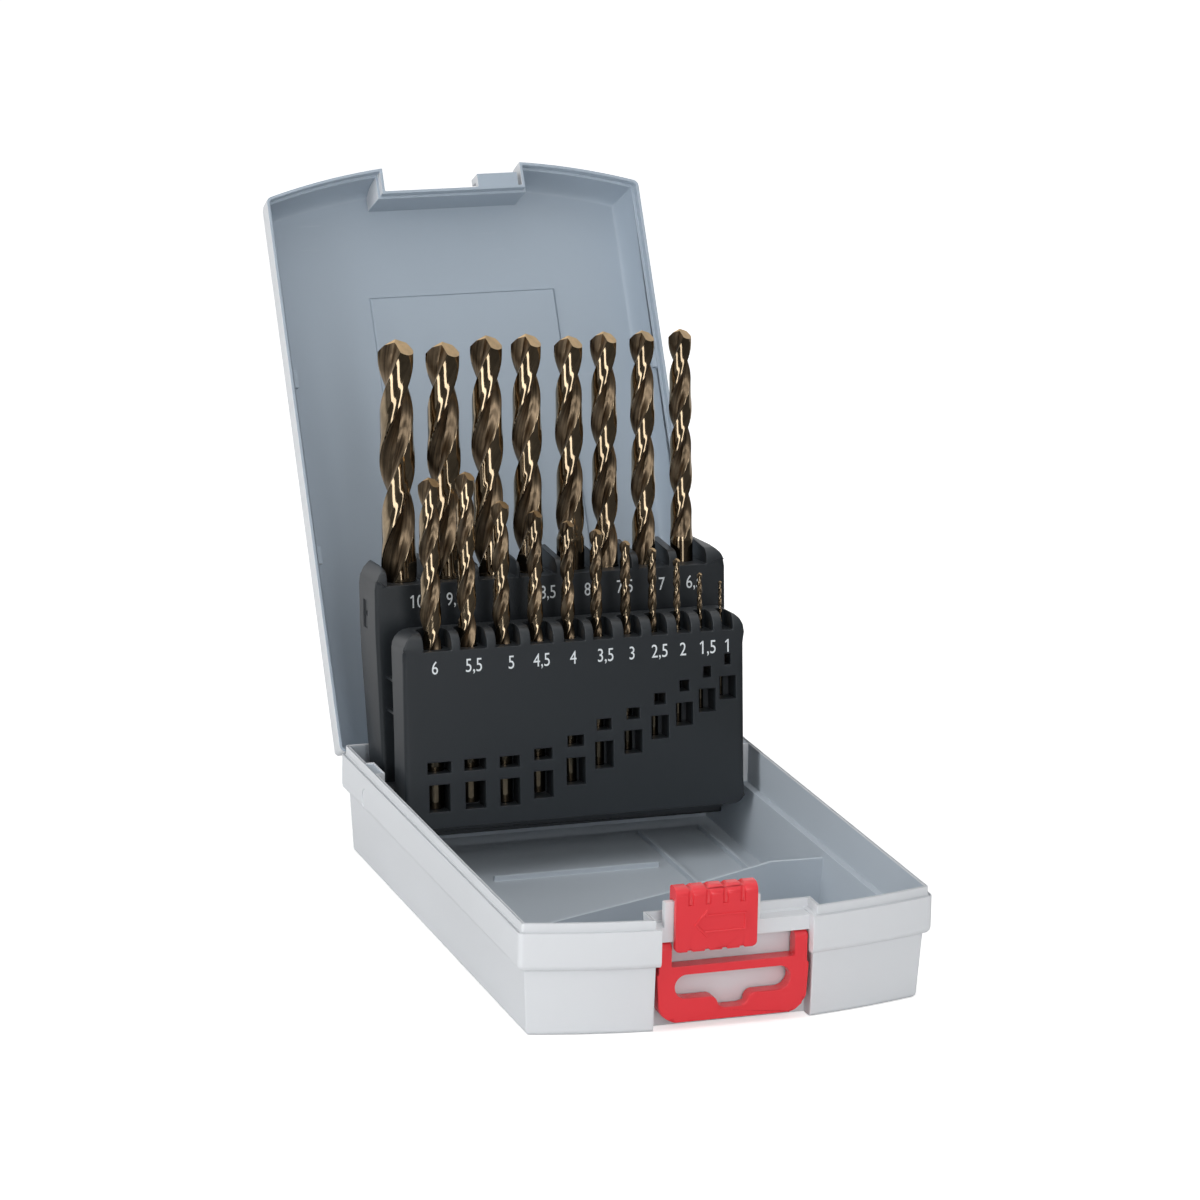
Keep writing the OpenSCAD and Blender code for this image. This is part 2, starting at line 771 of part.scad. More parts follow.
// Arrow that shows which way the slider opens
arrow_t = 0.3;
arrow_line = 0.6;
module arrow() {
  tip = slider_x + slider_w*0.225;
  neck = tip + slider_w*0.156;
  tail = slider_x + slider_w*0.864;
  mid = slider_z + slider_h*0.42;
  head = slider_h*0.22;
  half = head*0.66;
  pts = [[tip, mid], [neck, mid - head], [neck, mid - half], [tail, mid - half], [tail, mid + half],
    [neck, mid + half], [neck, mid + head]];
  translate([0, slider_y + slider_t/4, 0]) rotate([90, 0, 0]) linear_extrude(slider_t/4 + arrow_t) difference() {
    polygon(pts);
    offset(delta = -arrow_line) polygon(pts);
  }
}

module latch_slider() {
  color("#e03a3e") {
    difference() {
      bar_x(slider_x, slider_x + slider_w) slider_side();
      slider_grips();
    }
    slider_hook();
    arrow();
  }
}

// Handle
slot_drop = 3.35;
dip_hw = 5.6;
module handle_view() {
  foot = -handle_h;
  wide = arm_x + shoulder;
  chamfer = 3;
  narrow = 1.1;
  difference() {
    polygon([[-arm_x, handle_front], [-arm_x, -shoulder_h], [-wide, -shoulder_h - shoulder],
      [narrow - wide - shoulder, foot + chamfer], [chamfer + narrow - wide, foot], [wide - chamfer - narrow, foot],
      [wide - narrow + shoulder, foot + chamfer], [wide, -shoulder_h - shoulder], [arm_x, -shoulder_h],
      [arm_x, handle_front]]);
    window_w = 2*(arm_x - arm_w);
    translate([-window_w/2, foot + plate_h]) square([window_w, handle_h]);
    slot_top = foot + plate_h - crossbar_h;
    slot_r = slot_h/2;
    hull() for (s = [-1, 1]) translate([s*(slot_hw - slot_r), slot_top - slot_r]) circle(r = slot_r);
    translate([-dip_hw, slot_top - slot_h - slot_drop]) polygon([[dip_hw*0.4, 0], [dip_hw*1.6, 0],
      [dip_hw*2, slot_drop + slot_r/2], [0, slot_drop + slot_r/2]]);
  }
}

module hanger_handle() {
  color("#e03a3e") translate([0, handle_y, handle_z]) {
    intersection() {
      translate([0, handle_t - handle_front, 0]) rotate([90, 0, 0]) linear_extrude(handle_t) handle_view();
      bar_x(-case_w, case_w) {
        circle(r = handle_front);
        translate([-handle_front, -case_d]) square([handle_t, case_d]);
      }
    }
    rod_x(-arm_x - arm_gap - handle_pin_l, -arm_x + over, 0, 0, handle_pin_r);
    rod_x(arm_x - over, arm_x + arm_gap + handle_pin_l, 0, 0, handle_pin_r);
  }
}

base_shell();
lid_shell();
hinge_pin(-1);  // hinge_pin_left
hinge_pin(1);  // hinge_pin_right
drill_rack();
latch_slider();
hanger_handle();
for (i = [0:len(back_names) - 1]) back_drill(i);
for (i = [0:len(front_names) - 1]) front_drill(i);
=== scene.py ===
"""Drill bit case with a folding rack of twist drills, dressed around its CAD frame."""

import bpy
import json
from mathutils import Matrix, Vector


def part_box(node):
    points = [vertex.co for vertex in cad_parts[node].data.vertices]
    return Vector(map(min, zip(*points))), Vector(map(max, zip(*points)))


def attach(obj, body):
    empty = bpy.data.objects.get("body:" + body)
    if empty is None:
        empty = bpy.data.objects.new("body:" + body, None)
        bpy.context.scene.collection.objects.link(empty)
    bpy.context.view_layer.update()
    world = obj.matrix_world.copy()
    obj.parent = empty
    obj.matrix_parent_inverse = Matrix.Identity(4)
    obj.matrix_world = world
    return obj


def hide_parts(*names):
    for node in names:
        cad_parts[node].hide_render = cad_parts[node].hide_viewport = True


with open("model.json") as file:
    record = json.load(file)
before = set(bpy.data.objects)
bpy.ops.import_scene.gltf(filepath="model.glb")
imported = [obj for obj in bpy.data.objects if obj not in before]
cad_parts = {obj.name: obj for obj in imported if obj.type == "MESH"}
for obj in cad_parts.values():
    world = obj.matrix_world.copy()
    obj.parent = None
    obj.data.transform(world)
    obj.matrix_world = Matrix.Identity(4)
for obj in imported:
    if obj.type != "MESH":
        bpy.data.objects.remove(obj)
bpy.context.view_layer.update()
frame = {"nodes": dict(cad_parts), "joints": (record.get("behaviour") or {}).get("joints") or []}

import json
import math

import bmesh
import bpy
from mathutils import Matrix, Vector

bl_info = {
    "name": "Drill Bit Case",
    "version": (1, 0, 0),
    "blender": (4, 5, 0),
    "location": "View3D > Sidebar > Drill Case",
    "description": "Dresses a hinged drill bit case, its rack, drills, latch and hanger",
    "category": "Object",
}

MM = 0.001

# Places that the frame gives
JOINTS = {joint["name"]: joint for joint in frame["joints"]}
HINGE = Vector(JOINTS["lid_hinge"]["pos_m"])
LID_ANGLE = math.radians(JOINTS["lid_hinge"]["range_deg"][1])
PIVOT = Vector(JOINTS["rack_pivot"]["pos_m"])
RACK_LEAN = math.asin(-JOINTS["drill_10_lift"]["axis"][1])
DRILL_NODES = [node for node in frame["nodes"] if node.startswith("drill_") and node != "drill_rack"]

# Sizes of the case that tell its inside from its outside
HALF_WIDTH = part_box("base_shell")[1].x
BOW_RADIUS = 191.08 * MM
BOW_CENTRE_Y = 99.88 * MM
LIP_TOP = 31.1 * MM
BAY_HALF_WIDTH = 23 * MM
BAY_BACK_Y = -81.03 * MM
FLOOR_TOP = 2 * MM
LID_TOP = 45 * MM
LID_MIDDLE = Vector((0, 0, 36)) * MM
PANEL_Z = 42.7 * MM
NOTCH_HALF_WIDTH = 21.1 * MM
NOTCH_BACK_Y = -82.9 * MM
LEDGE_TOP = 28.7 * MM
LEDGE_REACH = 1.2 * MM
SLOT_TOP = 14.9 * MM
BASE_WALL = 1.5 * MM
BASE_INNER = 5 * MM
LID_INNER = 7 * MM

# How far a face may lie from the height or plane that it is looked for at
LEVEL_SLACK = 0.02 * MM
PANEL_SLACK = 0.05 * MM
FACE_SLACK = 0.25 * MM

# Angles from which an edge counts as hard, and up to which faces shade as one
HARD_ANGLE = math.radians(35)
SMOOTH_ANGLE = math.radians(32)
CORNER_ANGLE = math.radians(25)
DRILL_SMOOTH_ANGLE = math.radians(28)

# The rack's own frame, from its pivot: back to the drill axes and down to its foot
RACK_BACK = 12.4 * MM
RACK_DOWN = 20.8 * MM
FRONT_FACE = 29.1 * MM
BACK_FACE = 9 * MM
FRONT_DEPTH = 11.6 * MM
BACK_REAR = 7.1 * MM
FRONT_END = 49.4 * MM
BACK_END = 50.3 * MM
SOCKET_TOP = 60 * MM
RACK_SKIN = 0.3 * MM
FRONT_LABELS = {
    "6": -40.9, "5,5": -29.6, "5": -18.7, "4,5": -9.8, "4": -0.6, "3,5": 8.9,
    "3": 16.7, "2,5": 24.9, "2": 31.8, "1,5": 39.2, "1": 45.2,
}
BACK_LABELS = {
    "10": -39.8, "9,5": -28.7, "9": -15, "8,5": -1.3, "8": 10.5, "7,5": 21.6, "7": 32.6, "6,5": 42.4,
}
FRONT_LABEL_Z = 60.6 * MM
BACK_LABEL_Z = 75.7 * MM

# The flag of a leading 1, in shares of the digit's height
FLAG_LENGTH = 0.3
FLAG_WIDTH = 0.11
FLAG_LEFT = 0.08
FLAG_UP = 0.86
FLAG_TILT = math.radians(35)

# Flute length as a share of each drill's own length
FLUTE_SHARES = {
    "drill_10": 0.654, "drill_9_5": 0.648, "drill_9": 0.648, "drill_8_5": 0.641, "drill_8": 0.495,
    "drill_7_5": 0.633, "drill_7": 0.633, "drill_6_5": 0.6, "drill_6": 0.613, "drill_5_5": 0.613,
    "drill_5": 0.605, "drill_4_5": 0.587, "drill_4": 0.573, "drill_3_5": 0.557, "drill_3": 0.541,
    "drill_2_5": 0.526, "drill_2": 0.49, "drill_1_5": 0.45, "drill_1": 0.353,
}

# Shares of a drill's radius
CORE_SHARE = 0.28
SHANK_SHARE = 0.992
LAND_FROM = 0.915
POINT_REACH = 1.2
OVERRUN = 0.2
SHANK_OVERLAP = 0.05
SHANK_CHAMFER = 0.08

# Drills above this diameter get the full section and more steps a turn
FINE_DIAMETER = 3.2 * MM
FINE_STEPS = 40
PLAIN_STEPS = 24

# How close to a cutting plane a point of a drill counts as on it
CUT_SLACK = 0.001 * MM

# The attribute with each point's place on a drill whose helix is taken out
UNTWISTED = "untwisted"

# Material slots of a drill; the shank's slot holds darkened bronze, painted shade for where it stands in the
# rack
FLUTE, LAND, POINT, SHANK = range(4)


def length_prop(name, description, default):
    return bpy.props.FloatProperty(
        name=name, description=description, default=default, unit="LENGTH", precision=5
    )


def colour_prop(name, description, default):
    return bpy.props.FloatVectorProperty(
        name=name, description=description, default=default, subtype="COLOR", size=3, min=0, max=1
    )


class CaseSizes(bpy.types.PropertyGroup):
    """Sizes of the dressing that a user might change"""

    shell_edge: length_prop("Shell edge", "Rounding of the shells' edges", 0.22 * MM)
    rack_edge: length_prop("Rack edge", "Rounding of the rack's edges", 0.3 * MM)
    rack_end_edge: length_prop("Rack end edge", "Rounding beside the rack's end faces", 1.1 * MM)
    red_edge: length_prop("Latch edge", "Rounding of the latch and hanger", 0.3 * MM)
    hanger_corner: length_prop("Hanger corner", "Rounding of the hanger's outline and slot", 1.4 * MM)
    slider_corner: length_prop("Slider corner", "Rounding of the slider's lower corners", 1.2 * MM)
    parting_side: length_prop("Parting line side", "Width left beside the dark line under the lip", 0.3 * MM)
    parting_depth: length_prop("Parting line depth", "Depth of the dark line under the lip", 0.7 * MM)
    groove_side: length_prop("Groove side", "Width of the ridges beside the lip's groove", 0.28 * MM)
    groove_depth: length_prop("Groove depth", "Depth of the groove along the lip", 0.6 * MM)
    panel_edge: length_prop("Panel edge", "Chamfer round the lid's inner panel", 0.42 * MM)
    label_height: length_prop("Number height", "Height of the printed drill sizes", 3.7 * MM)
    label_width: bpy.props.FloatProperty(
        name="Number width", description="Width of a digit against its normal width", default=0.78,
        min=0.4, max=1.2,
    )
    ink: length_prop("Ink", "Height of the printing on the rack", 0.03 * MM)
    point_angle: bpy.props.FloatProperty(
        name="Point angle", description="Full angle of the drill points", default=math.radians(135),
        subtype="ANGLE",
    )
    pitch: bpy.props.FloatProperty(
        name="Helix pitch", description="Pitch of the flutes in drill diameters", default=5.9, min=3, max=9
    )
    tip_turn: bpy.props.FloatProperty(
        name="Tip turn", description="Direction of a flute at the tip", default=math.radians(195),
        subtype="ANGLE",
    )
    relief: bpy.props.FloatProperty(
        name="Relief", description="Fall of a point's flank behind its lip, as a slope", default=0.8,
        min=0.1, max=0.9,
    )


class CaseColours(bpy.types.PropertyGroup):
    """Colours of the finishes, and of the painted shade inside the case"""

    outside: colour_prop("Case outside", "Light grey plastic", (0.66, 0.68, 0.705))
    # The two inside colours are darker, bluer copies of the case plastic: painted shade for the dimmer light
    # inside the lid and base, the base's paler as more light falls into it
    lid_inside: colour_prop("Lid inside", "Blue-grey of the lid's inside", (0.355, 0.42, 0.49))
    base_inside: colour_prop("Base inside", "Paler blue-grey of the base's inside", (0.46, 0.51, 0.56))
    rack: colour_prop("Rack", "Near-black plastic", (0.003, 0.0055, 0.0075))
    red: colour_prop("Latch", "Red plastic", (0.72, 0.037, 0.044))
    flute: colour_prop("Flutes", "Dark bronze of the ground flutes", (0.27, 0.2, 0.13))
    land: colour_prop("Lands", "Bronze of the drill's outer faces", (0.4, 0.31, 0.205))
    point: colour_prop("Points", "Tan of the ground points", (0.6, 0.42, 0.225))
    pin: colour_prop("Pins", "Drawn steel", (0.55, 0.55, 0.56))
    ink: colour_prop("Numbers", "White print", (0.72, 0.76, 0.78))
    floor: colour_prop("Floor", "White floor", (0.9, 0.9, 0.9))


# Picking and editing


def only(piece):
    """Selects one object alone and makes it the active one."""
    bpy.ops.object.select_all(action="DESELECT")
    piece.select_set(True)
    bpy.context.view_layer.objects.active = piece


def edit(piece):
    only(piece)
    bpy.ops.object.mode_set(mode="EDIT")


def leave_edit():
    bpy.ops.object.mode_set(mode="OBJECT")


def split_faces():
    """In edit mode, splits all faces into triangles, so that a bevel can't fold a face with many sides."""
    bpy.ops.mesh.select_all(action="SELECT")
    bpy.ops.mesh.quads_convert_to_tris()


def pick(piece, kind, test):
    """In edit mode, selects the faces, edges or vertices that pass the test, and nothing else."""
    bpy.ops.mesh.select_mode(type=kind)
    bpy.ops.mesh.select_all(action="DESELECT")
    mesh = bmesh.from_edit_mesh(piece.data)
    items = {"FACE": mesh.faces, "EDGE": mesh.edges, "VERT": mesh.verts}[kind]
    for item in items:
        if test(item):
            item.select_set(True)
    bmesh.update_edit_mesh(piece.data)


def modify(piece, kind, **settings):
    """Adds a modifier and applies it."""
    only(piece)
    modifier = piece.modifiers.new(kind.title(), kind)
    for name, value in settings.items():
        setattr(modifier, name, value)
    bpy.ops.object.modifier_apply(modifier=modifier.name)


def soften(piece, width):
    """Rounds the hard edges, which catch the light on a moulded part."""
    modify(
        piece, "BEVEL", width=width, segments=2, limit_method="ANGLE", angle_limit=HARD_ANGLE,
        use_clamp_overlap=False, miter_outer="MITER_SHARP",
    )


def shade(piece):
    only(piece)
    bpy.ops.object.shade_smooth_by_angle(angle=SMOOTH_ANGLE)
    modify(piece, "WEIGHTED_NORMAL", keep_sharp=True, weight=50)


def cad_copy(node, name):
    """A copy of a CAD node as one clean mesh, ready for rounding."""
    piece = bpy.data.objects.new(name, frame["nodes"][node].data.copy())
    bpy.context.scene.collection.objects.link(piece)
    piece.data.materials.clear()
    only(piece)
    bpy.ops.mesh.customdata_custom_splitnormals_clear()
    edit(piece)
    bpy.ops.mesh.select_mode(type="VERT")
    bpy.ops.mesh.select_all(action="SELECT")
    bpy.ops.mesh.remove_doubles(threshold=0.002 * MM)
    bpy.ops.mesh.dissolve_limited(angle_limit=math.radians(0.4))
    leave_edit()
    return piece


def finish_piece(piece, body, slot, *nodes):
    """Hangs a piece on its body and hides the nodes that it stands for; its slot is not used."""
    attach(piece, body)
    if nodes:
        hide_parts(*nodes)


def rack_matrix():
    """From the rack's own upright frame to the case's."""
    lean = Matrix.Rotation(-RACK_LEAN, 4, "X")
    return Matrix.Translation(PIVOT) @ lean @ Matrix.Translation((0, RACK_BACK, -RACK_DOWN))


def skin_depth(x, y):
    """How far a point lies inside the case's outline."""
    return min(HALF_WIDTH - abs(x), HINGE.y - y, BOW_RADIUS - math.hypot(x, y - BOW_CENTRE_Y))


# Shader building


def link(tree, source, target):
    tree.links.new(source, target)


def new_group(name, inputs, outputs):
    """An empty shader node group with named sockets. Each input is (name, kind, default)."""
    group = bpy.data.node_groups.new(name, "ShaderNodeTree")
    for label, kind, default in inputs:
        socket = group.interface.new_socket(label, in_out="INPUT", socket_type=kind)
        socket.default_value = default
    for label, kind in outputs:
        group.interface.new_socket(label, in_out="OUTPUT", socket_type=kind)
    return group, group.nodes.new("NodeGroupInput"), group.nodes.new("NodeGroupOutput")


def node(tree, kind, **settings):
    made = tree.nodes.new(kind)
    for name, value in settings.items():
        setattr(made, name, value)
    return made


def math_node(tree, operation, first, second, third=None):
    made = node(tree, "ShaderNodeMath", operation=operation)
    for place, value in enumerate((first, second, third)):
        if value is None:
            continue
        if isinstance(value, (int, float)):
            made.inputs[place].default_value = value
        else:
            link(tree, value, made.inputs[place])
    return made.outputs[0]


def noise(tree, vector, scale, detail):
    made = node(tree, "ShaderNodeTexNoise", noise_dimensions="3D")
    made.inputs["Scale"].default_value = scale
    made.inputs["Detail"].default_value = detail
    link(tree, vector, made.inputs["Vector"])
    return made.outputs["Fac"]


def mix_colour(tree, factor, first, second):
    made = node(tree, "ShaderNodeMix", data_type="RGBA")
    for place, value in ((0, factor), (6, first), (7, second)):
        if isinstance(value, (int, float, tuple)):
            made.inputs[place].default_value = value
        else:
            link(tree, value, made.inputs[place])
    return made.outputs[2]


def spread(tree, value, low, high, out_low, out_high):
    made = node(tree, "ShaderNodeMapRange")
    link(tree, value, made.inputs["Value"])
    for name, number in (("From Min", low), ("From Max", high), ("To Min", out_low), ("To Max", out_high)):
        made.inputs[name].default_value = number
    return made.outputs["Result"]


def moulded_grain():
    """Fine spark-eroded grain, slow tone drift and the odd handling mark of a moulded surface."""
    if "Moulded grain" in bpy.data.node_groups:
        return bpy.data.node_groups["Moulded grain"]
    group, given, made = new_group(
        "Moulded grain",
        [("Colour", "NodeSocketColor", (0.5, 0.5, 0.5, 1)), ("Grain", "NodeSocketFloat", 4000.0),
         ("Roughness", "NodeSocketFloat", 0.5), ("Drift", "NodeSocketFloat", 0.03),
         ("Marks", "NodeSocketFloat", 0.2)],
        [("Colour", "NodeSocketColor"), ("Roughness", "NodeSocketFloat"), ("Height", "NodeSocketFloat")],
    )
    place = node(group, "ShaderNodeTexCoord").outputs["Object"]
    fine = node(group, "ShaderNodeTexNoise", noise_dimensions="3D")
    fine.inputs["Detail"].default_value = 3
    fine.inputs["Roughness"].default_value = 0.6
    link(group, place, fine.inputs["Vector"])
    link(group, given.outputs["Grain"], fine.inputs["Scale"])
    slow = noise(group, place, 22, 3)
    stretch = node(group, "ShaderNodeMapping")
    stretch.inputs["Scale"].default_value = (60, 900, 900)
    stretch.inputs["Rotation"].default_value = (0.3, 0.5, 0.7)
    link(group, place, stretch.inputs["Vector"])
    marks = spread(group, noise(group, stretch.outputs["Vector"], 1, 2), 0.68, 0.78, 0, 1)
    patches = spread(group, noise(group, place, 30, 1), 0.5, 0.62, 0, 1)
    marks = math_node(group, "MULTIPLY", marks, patches)
    marks = math_node(group, "MULTIPLY", marks, given.outputs["Marks"])
    drift = spread(group, slow, 0.3, 0.7, -1, 1)
    tone = math_node(group, "MULTIPLY_ADD", drift, given.outputs["Drift"], 1)
    shaded = node(group, "ShaderNodeVectorMath", operation="SCALE")
    link(group, given.outputs["Colour"], shaded.inputs[0])
    link(group, tone, shaded.inputs["Scale"])
    faint = math_node(group, "MULTIPLY", marks, 0.25)
    marked = mix_colour(group, faint, shaded.outputs[0], (0.9, 0.9, 0.9, 1))
    link(group, marked, made.inputs["Colour"])
    rough = math_node(group, "MULTIPLY_ADD", drift, 0.05, given.outputs["Roughness"])
    rough = math_node(group, "MULTIPLY_ADD", marks, -0.12, rough)
    link(group, rough, made.inputs["Roughness"])
    height = math_node(group, "MULTIPLY_ADD", marks, -0.6, fine.outputs["Fac"])
    link(group, height, made.inputs["Height"])
    return group


def ground_lines():
    """Fine grinding lines across a drill and a slow change of temper colour along it."""
    if "Ground lines" in bpy.data.node_groups:
        return bpy.data.node_groups["Ground lines"]
    group, given, made = new_group(
        "Ground lines",
        [("Colour", "NodeSocketColor", (0.4, 0.3, 0.2, 1)),
         ("Temper", "NodeSocketColor", (0.3, 0.2, 0.1, 1)),
         ("Roughness", "NodeSocketFloat", 0.25), ("Lines", "NodeSocketFloat", 5000.0),
         ("Streak", "NodeSocketFloat", 0.3), ("Place", "NodeSocketVector", (0, 0, 0))],
        [("Colour", "NodeSocketColor"), ("Roughness", "NodeSocketFloat"), ("Height", "NodeSocketFloat")],
    )
    place = node(group, "ShaderNodeTexCoord").outputs["Object"]
    squeeze = node(group, "ShaderNodeMapping")
    squeeze.inputs["Scale"].default_value = (1, 1, 0.04)
    link(group, given.outputs["Place"], squeeze.inputs["Vector"])
    lines = node(group, "ShaderNodeTexNoise", noise_dimensions="3D")
    lines.inputs["Detail"].default_value = 2
    link(group, squeeze.outputs["Vector"], lines.inputs["Vector"])
    link(group, given.outputs["Lines"], lines.inputs["Scale"])
    temper = spread(group, noise(group, place, 60, 2), 0.35, 0.65, 0, 1)
    blotch = spread(group, noise(group, place, 420, 3), 0.3, 0.7, 0.85, 1.12)
    toned = mix_colour(group, temper, given.outputs["Colour"], given.outputs["Temper"])
    shaded = node(group, "ShaderNodeVectorMath", operation="SCALE")
    link(group, toned, shaded.inputs[0])
    waves = spread(group, lines.outputs["Fac"], 0.3, 0.7, -1, 1)
    streak = math_node(group, "MULTIPLY", waves, given.outputs["Streak"])
    tone = math_node(group, "MULTIPLY", blotch, math_node(group, "ADD", streak, 1))
    link(group, tone, shaded.inputs["Scale"])
    link(group, shaded.outputs[0], made.inputs["Colour"])
    wavy = spread(group, lines.outputs["Fac"], 0.3, 0.7, -0.06, 0.08)
    link(group, math_node(group, "ADD", wavy, given.outputs["Roughness"]), made.inputs["Roughness"])
    link(group, lines.outputs["Fac"], made.inputs["Height"])
    return group


def principled(name):
    """A new material with its node tree and its Principled shader."""
    material = bpy.data.materials.new(name)
    material.use_nodes = True
    tree = material.node_tree
    return material, tree, tree.nodes["Principled BSDF"]


def bump(tree, shader, height, strength, distance):
    made = node(tree, "ShaderNodeBump")
    made.inputs["Strength"].default_value = strength
    made.inputs["Distance"].default_value = distance
    link(tree, height, made.inputs["Height"])
    link(tree, made.outputs["Normal"], shader.inputs["Normal"])


def plastic(name, colour, roughness, grain, depth, drift=0.03, marks=0.2, specular=0.5):
    """Moulded plastic with its grain."""
    if name in bpy.data.materials:
        return bpy.data.materials[name]
    material, tree, shader = principled(name)
    group = node(tree, "ShaderNodeGroup", node_tree=moulded_grain())
    group.inputs["Colour"].default_value = (*colour, 1)
    group.inputs["Grain"].default_value = grain
    group.inputs["Roughness"].default_value = roughness
    group.inputs["Drift"].default_value = drift
    group.inputs["Marks"].default_value = marks
    link(tree, group.outputs["Colour"], shader.inputs["Base Color"])
    link(tree, group.outputs["Roughness"], shader.inputs["Roughness"])
    shader.inputs["Specular IOR Level"].default_value = specular
    bump(tree, shader, group.outputs["Height"], depth, 0.02 * MM)
    return material


def metal(name, colour, temper, roughness, lines, streak, depth, twisted=True):
    """Ground metal with a temper colour that drifts."""
    if name in bpy.data.materials:
        return bpy.data.materials[name]
    material, tree, shader = principled(name)
    group = node(tree, "ShaderNodeGroup", node_tree=ground_lines())
    group.inputs["Colour"].default_value = (*colour, 1)
    group.inputs["Temper"].default_value = (*temper, 1)
    group.inputs["Roughness"].default_value = roughness
    group.inputs["Lines"].default_value = lines
    group.inputs["Streak"].default_value = streak
    if twisted:
        stored = node(tree, "ShaderNodeAttribute", attribute_type="GEOMETRY", attribute_name=UNTWISTED)
        place = stored.outputs["Vector"]
    else:
        place = node(tree, "ShaderNodeTexCoord").outputs["Object"]
    link(tree, place, group.inputs["Place"])
    link(tree, group.outputs["Colour"], shader.inputs["Base Color"])
    link(tree, group.outputs["Roughness"], shader.inputs["Roughness"])
    shader.inputs["Metallic"].default_value = 1
    bump(tree, shader, group.outputs["Height"], depth, 0.05 * MM)
    return material


def dim(colour, share):
    return tuple(channel * share for channel in colour)


def outside_plastic(colours):
    return plastic("case_outside", colours.outside, 0.42, 5200, 0.22, drift=0.012)


# A darker copy of the case plastic: painted shade for the inside of the lid and base
def shaded_inside_plastic(name, colour):
    return plastic(name, colour, 0.5, 4200, 0.3, drift=0.02)


def rack_plastic(colours):
    material = plastic("rack_plastic", colours.rack, 0.45, 3800, 0.35, drift=0.08, marks=0.15, specular=0.25)
    shader = material.node_tree.nodes["Principled BSDF"]
    shader.inputs["Sheen Weight"].default_value = 0.03
    shader.inputs["Sheen Roughness"].default_value = 0.22
    return material


def red_plastic(colours):
    return plastic("red_plastic", colours.red, 0.33, 4500, 0.12, drift=0.02, marks=0.1)


# The case


def paint_inside_shade(piece, in_painted_shade):
    """Gives the faces that pass the test the second material, the darker copy of the plastic that paints the
    shade inside the case.
    """
    for face in piece.data.polygons:
        face.material_index = 1 if in_painted_shade(face.center, face.normal) else 0


def is_level(face, height):
    """Whether a face lies level, looks up and is at the height given."""
    return face.normal.z > 0.99 and abs(face.calc_center_median().z - height) < LEVEL_SLACK


def cut_groove(piece, test, side, depth):
    """In edit mode, sinks the level faces that pass the test, but for a strip along each side of them."""
    pick(piece, "FACE", test)
    bpy.ops.mesh.inset(thickness=side, use_boundary=True, use_even_offset=True)
    bpy.ops.mesh.extrude_region_move(TRANSFORM_OT_translate={"value": (0, 0, -depth)})


class DRILLCASE_OT_base(bpy.types.Operator):
    """Dresses the base: rounded edges, the groove along its lip, the dark line below, and a darker inside
    that is painted shade
    """

    bl_idname = "drillcase.base"
    bl_label = "Base"

    def execute(self, context):
        sizes = context.scene.drillcase_sizes
        colours = context.scene.drillcase_colours
        piece = cad_copy("base_shell", "base_dressed")

        def on_ledge(face):
            spot = face.calc_center_median()
            return is_level(face, LEDGE_TOP) and skin_depth(spot.x, spot.y) < LEDGE_REACH

        edit(piece)
        split_faces()
        cut_groove(piece, lambda face: is_level(face, LIP_TOP), sizes.groove_side, sizes.groove_depth)
        cut_groove(piece, on_ledge, sizes.parting_side, sizes.parting_depth)
        leave_edit()
        soften(piece, sizes.shell_edge)
        shade(piece)
        piece.data.materials.append(outside_plastic(colours))
        # The second material paints shade on the faces inside the base
        piece.data.materials.append(shaded_inside_plastic("base_inside", colours.base_inside))

        # The faces inside the base, which get the painted shade
        def in_painted_shade(centre, normal):
            if abs(centre.x) < BAY_HALF_WIDTH and centre.y < BAY_BACK_Y - 0.01 * MM:
                return False
            depth = skin_depth(centre.x, centre.y)
            ahead = skin_depth(centre.x + normal.x * MM, centre.y + normal.y * MM)
            above_floor = FLOOR_TOP - 0.1 * MM < centre.z < LIP_TOP - 0.3 * MM
            past_wall = depth > BASE_WALL
            looks_in = ahead > depth + 0.3 * MM
            return above_floor and (depth > BASE_INNER or past_wall and (normal.z > 0.3 or looks_in))

        paint_inside_shade(piece, in_painted_shade)
        finish_piece(piece, "base", "case_plastic", "base_shell")
        return {"FINISHED"}


class DRILLCASE_OT_lid(bpy.types.Operator):
    """Dresses the lid: rounded edges, the chamfer round its inner panel, and a darker inside that is painted
    shade
    """

    bl_idname = "drillcase.lid"
    bl_label = "Lid"

    def execute(self, context):
        sizes = context.scene.drillcase_sizes
        colours = context.scene.drillcase_colours
        piece = cad_copy("lid_shell", "lid_dressed")
        shut = Matrix.Translation(HINGE) @ Matrix.Rotation(LID_ANGLE, 4, "X") @ Matrix.Translation(-HINGE)
        turn = shut.to_3x3()
        edit(piece)
        pick(piece, "FACE", lambda face: abs((shut @ face.calc_center_median()).z - PANEL_Z) < PANEL_SLACK)
        bpy.ops.mesh.region_to_loop()
        bpy.ops.mesh.bevel(offset=sizes.panel_edge, segments=1, affect="EDGES")
        leave_edit()
        soften(piece, sizes.shell_edge)
        shade(piece)
        piece.data.materials.append(outside_plastic(colours))
        # The second material paints shade on the faces inside the lid
        piece.data.materials.append(shaded_inside_plastic("lid_inside", colours.lid_inside))

        # The faces inside the lid, which get the painted shade
        def in_painted_shade(centre, normal):
            spot = shut @ centre
            facing = turn @ normal
            if facing.z < -0.5:
                return True
            if spot.z > LID_TOP - 0.6 * MM or abs(spot.x) < NOTCH_HALF_WIDTH and spot.y < NOTCH_BACK_Y:
                return False
            return skin_depth(spot.x, spot.y) > LID_INNER or facing.dot(spot - LID_MIDDLE) < 0

        paint_inside_shade(piece, in_painted_shade)
        finish_piece(piece, "lid", "case_plastic", "lid_shell")
        return {"FINISHED"}


